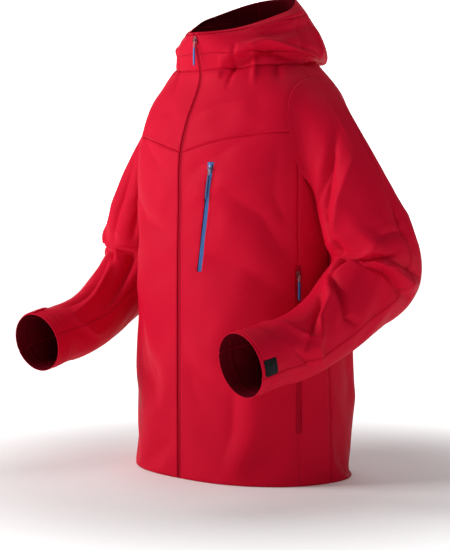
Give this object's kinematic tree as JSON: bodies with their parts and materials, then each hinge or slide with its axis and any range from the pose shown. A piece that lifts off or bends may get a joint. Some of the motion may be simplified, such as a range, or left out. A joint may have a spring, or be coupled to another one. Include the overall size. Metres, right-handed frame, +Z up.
{
  "type": "hardshell jacket",
  "caption": "Waterproof shell jacket stood as worn with bent elbows: taped panels, relaxed hood, sliding zips with pullers, cuff tabs and hem drawcord.",
  "frame": {"origin": "on the ground under the middle of the bounding box, level with the hem", "axes": "+Z up from hem to hood, -Y the way the wearer faces, +X the wearer's left"},
  "size_m": [0.6476, 0.4042, 0.757],
  "materials": {
    "shell_fabric": "matte",
    "lining_fabric": "matte",
    "red_zip_tape": "satin",
    "red_zip_teeth": "satin",
    "blue_zip_tape": "satin",
    "blue_zip_teeth": "satin",
    "red_slider": "satin",
    "blue_slider": "satin",
    "blue_puller": "matte",
    "black_hook_and_loop": "matte",
    "black_cord": "matte",
    "black_plastic": "satin"
  },
  "bodies": {
    "jacket": {"front_panel_left": "shell_fabric", "front_panel_right": "shell_fabric", "front_yoke_left": "shell_fabric", "front_yoke_right": "shell_fabric", "side_panel_left": "shell_fabric", "side_panel_right": "shell_fabric", "back_panel": "shell_fabric", "back_yoke": "shell_fabric", "collar_left": "shell_fabric", "collar_right": "shell_fabric", "hood_side_left": "shell_fabric", "hood_side_right": "shell_fabric", "hood_centre": "shell_fabric", "hood_brim": "shell_fabric", "sleeve_upper_front_left": "shell_fabric", "sleeve_upper_front_right": "shell_fabric", "sleeve_upper_back_left": "shell_fabric", "sleeve_upper_back_right": "shell_fabric", "storm_flap": "lining_fabric", "chest_zip_bag": "lining_fabric", "hand_zip_left_bag": "lining_fabric", "hand_zip_right_bag": "lining_fabric", "main_zip_tape_left": "red_zip_tape", "main_zip_tape_right": "red_zip_tape", "hand_zip_left_tape": "red_zip_tape", "hand_zip_right_tape": "red_zip_tape", "main_zip_coil": "red_zip_teeth", "hand_zip_left_coil": "red_zip_teeth", "hand_zip_right_coil": "red_zip_teeth", "main_zip_foot_box": "red_zip_teeth", "chest_zip_tape": "blue_zip_tape", "chest_zip_coil": "blue_zip_teeth", "hem_cord": "black_cord", "hanger_loop": "black_cord", "hem_cord_lock_left": "black_plastic", "hem_cord_lock_right": "black_plastic"},
    "forearm_left": {"forearm_inner_left": "shell_fabric", "forearm_outer_left": "shell_fabric", "cuff_patch_left": "black_hook_and_loop"},
    "forearm_right": {"forearm_inner_right": "shell_fabric", "forearm_outer_right": "shell_fabric", "cuff_patch_right": "black_hook_and_loop"},
    "cuff_tab_left": {"cuff_tab_left": "shell_fabric"},
    "cuff_tab_right": {"cuff_tab_right": "shell_fabric"},
    "main_slider": {"main_zip_slider": "red_slider"},
    "main_puller": {"main_zip_puller": "blue_puller"},
    "chest_slider": {"chest_zip_slider": "blue_slider"},
    "chest_puller": {"chest_zip_puller": "blue_puller"},
    "hand_slider_left": {"hand_zip_left_slider": "red_slider"},
    "hand_puller_left": {"hand_zip_left_puller": "blue_puller"},
    "hand_slider_right": {"hand_zip_right_slider": "red_slider"},
    "hand_puller_right": {"hand_zip_right_puller": "blue_puller"},
    "lock_button_left": {"hem_lock_button_left": "black_plastic"},
    "lock_button_right": {"hem_lock_button_right": "black_plastic"}
  },
  "joints": [
    {"name": "elbow_left", "type": "hinge", "parent": "jacket", "child": "forearm_left", "pos_m": [0.258, 0.07006, 0.322], "axis": [0.9885, -0.1444, 0.0448], "range_deg": [-26, 30]},
    {"name": "cuff_tab_open_left", "type": "hinge", "parent": "forearm_left", "child": "cuff_tab_left", "pos_m": [0.22899, -0.1824, 0.25347], "axis": [-0.1122, -0.9722, -0.2057], "range_deg": [0, 100]},
    {"name": "elbow_right", "type": "hinge", "parent": "jacket", "child": "forearm_right", "pos_m": [-0.258, 0.07006, 0.322], "axis": [0.9885, 0.1444, -0.0448], "range_deg": [-26, 30]},
    {"name": "cuff_tab_open_right", "type": "hinge", "parent": "forearm_right", "child": "cuff_tab_right", "pos_m": [-0.22899, -0.1824, 0.25347], "axis": [-0.1122, 0.9722, 0.2057], "range_deg": [0, 100]},
    {"name": "main_zip_slide", "type": "slide", "parent": "jacket", "child": "main_slider", "axis": [0, -0.2305, 0.9731], "range_m": [-0.028, 0]},
    {"name": "main_puller_swing", "type": "hinge", "parent": "main_slider", "child": "main_puller", "pos_m": [0, -0.06049, 0.67549], "axis": [-1, 0, 0], "range_deg": [0, 100]},
    {"name": "chest_zip_slide", "type": "slide", "parent": "jacket", "child": "chest_slider", "axis": [0.1192, 0.0376, 0.9922], "range_m": [-0.146, 0]},
    {"name": "chest_puller_swing", "type": "hinge", "parent": "chest_slider", "child": "chest_puller", "pos_m": [0.06135, -0.088, 0.47825], "axis": [-0.9728, -0.1987, 0.1193], "range_deg": [0, 110]},
    {"name": "hand_zip_slide_left", "type": "slide", "parent": "jacket", "child": "hand_slider_left", "axis": [-0.0164, 0.006, 0.9998], "range_m": [-0.172, 0]},
    {"name": "hand_puller_swing_left", "type": "hinge", "parent": "hand_slider_left", "child": "hand_puller_left", "pos_m": [0.17609, -0.01249, 0.32006], "axis": [-0.462, -0.8869, -0.0023], "range_deg": [0, 30]},
    {"name": "lock_button_press_left", "type": "slide", "parent": "jacket", "child": "lock_button_left", "axis": [0, 0, 1], "range_m": [-0.003, 0], "stiffness_N_per_m": 300},
    {"name": "hand_zip_slide_right", "type": "slide", "parent": "jacket", "child": "hand_slider_right", "axis": [0.0164, 0.006, 0.9998], "range_m": [-0.172, 0]},
    {"name": "hand_puller_swing_right", "type": "hinge", "parent": "hand_slider_right", "child": "hand_puller_right", "pos_m": [-0.17609, -0.01249, 0.32006], "axis": [-0.462, 0.8869, 0.0023], "range_deg": [0, 30]},
    {"name": "lock_button_press_right", "type": "slide", "parent": "jacket", "child": "lock_button_right", "axis": [0, 0, 1], "range_m": [-0.003, 0], "stiffness_N_per_m": 300}
  ]
}
